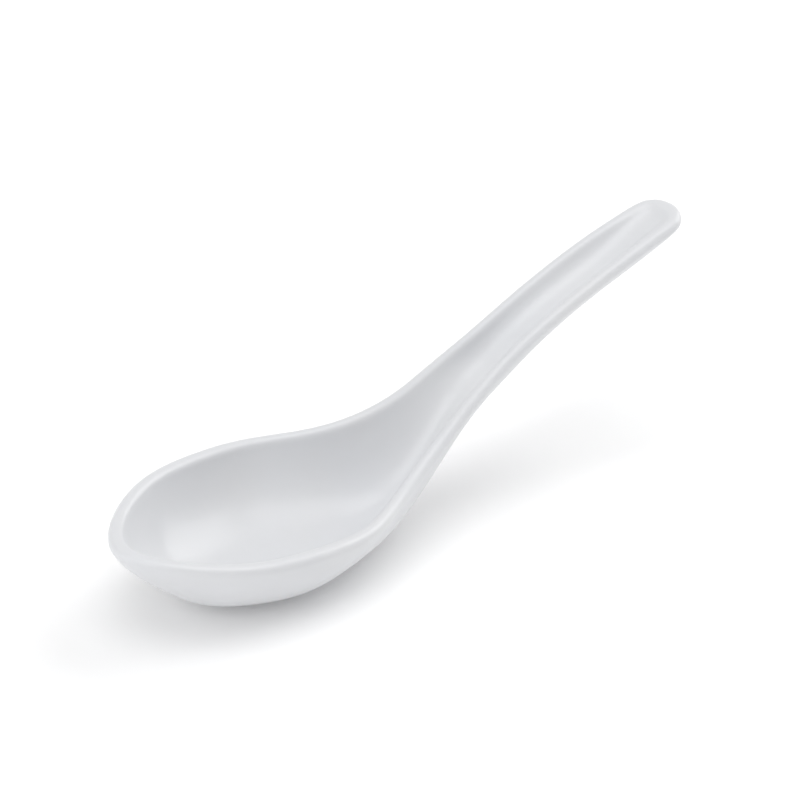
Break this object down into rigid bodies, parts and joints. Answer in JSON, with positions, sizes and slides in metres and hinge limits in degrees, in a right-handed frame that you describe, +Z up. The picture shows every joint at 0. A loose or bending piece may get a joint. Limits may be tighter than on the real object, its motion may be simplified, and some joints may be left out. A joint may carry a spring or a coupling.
{
  "type": "amuse bouche spoon",
  "caption": "White glossy tasting spoon: an egg-shaped bowl that stands on a flat foot, running through a narrowing neck into a gutter-shaped handle that rises in an S to a closed round end.",
  "frame": {"origin": "middle of the spoon's length and width, on the surface that its foot rests on", "axes": "+X along the spoon from the bowl's front towards the handle's end, +Y across it, +Z up"},
  "size_m": [0.1352, 0.0438, 0.0482],
  "materials": {
    "white_melamine": "smooth glossy white, moulded"
  },
  "bodies": {
    "root": {"spoon": "white_melamine"}
  },
  "joints": []
}
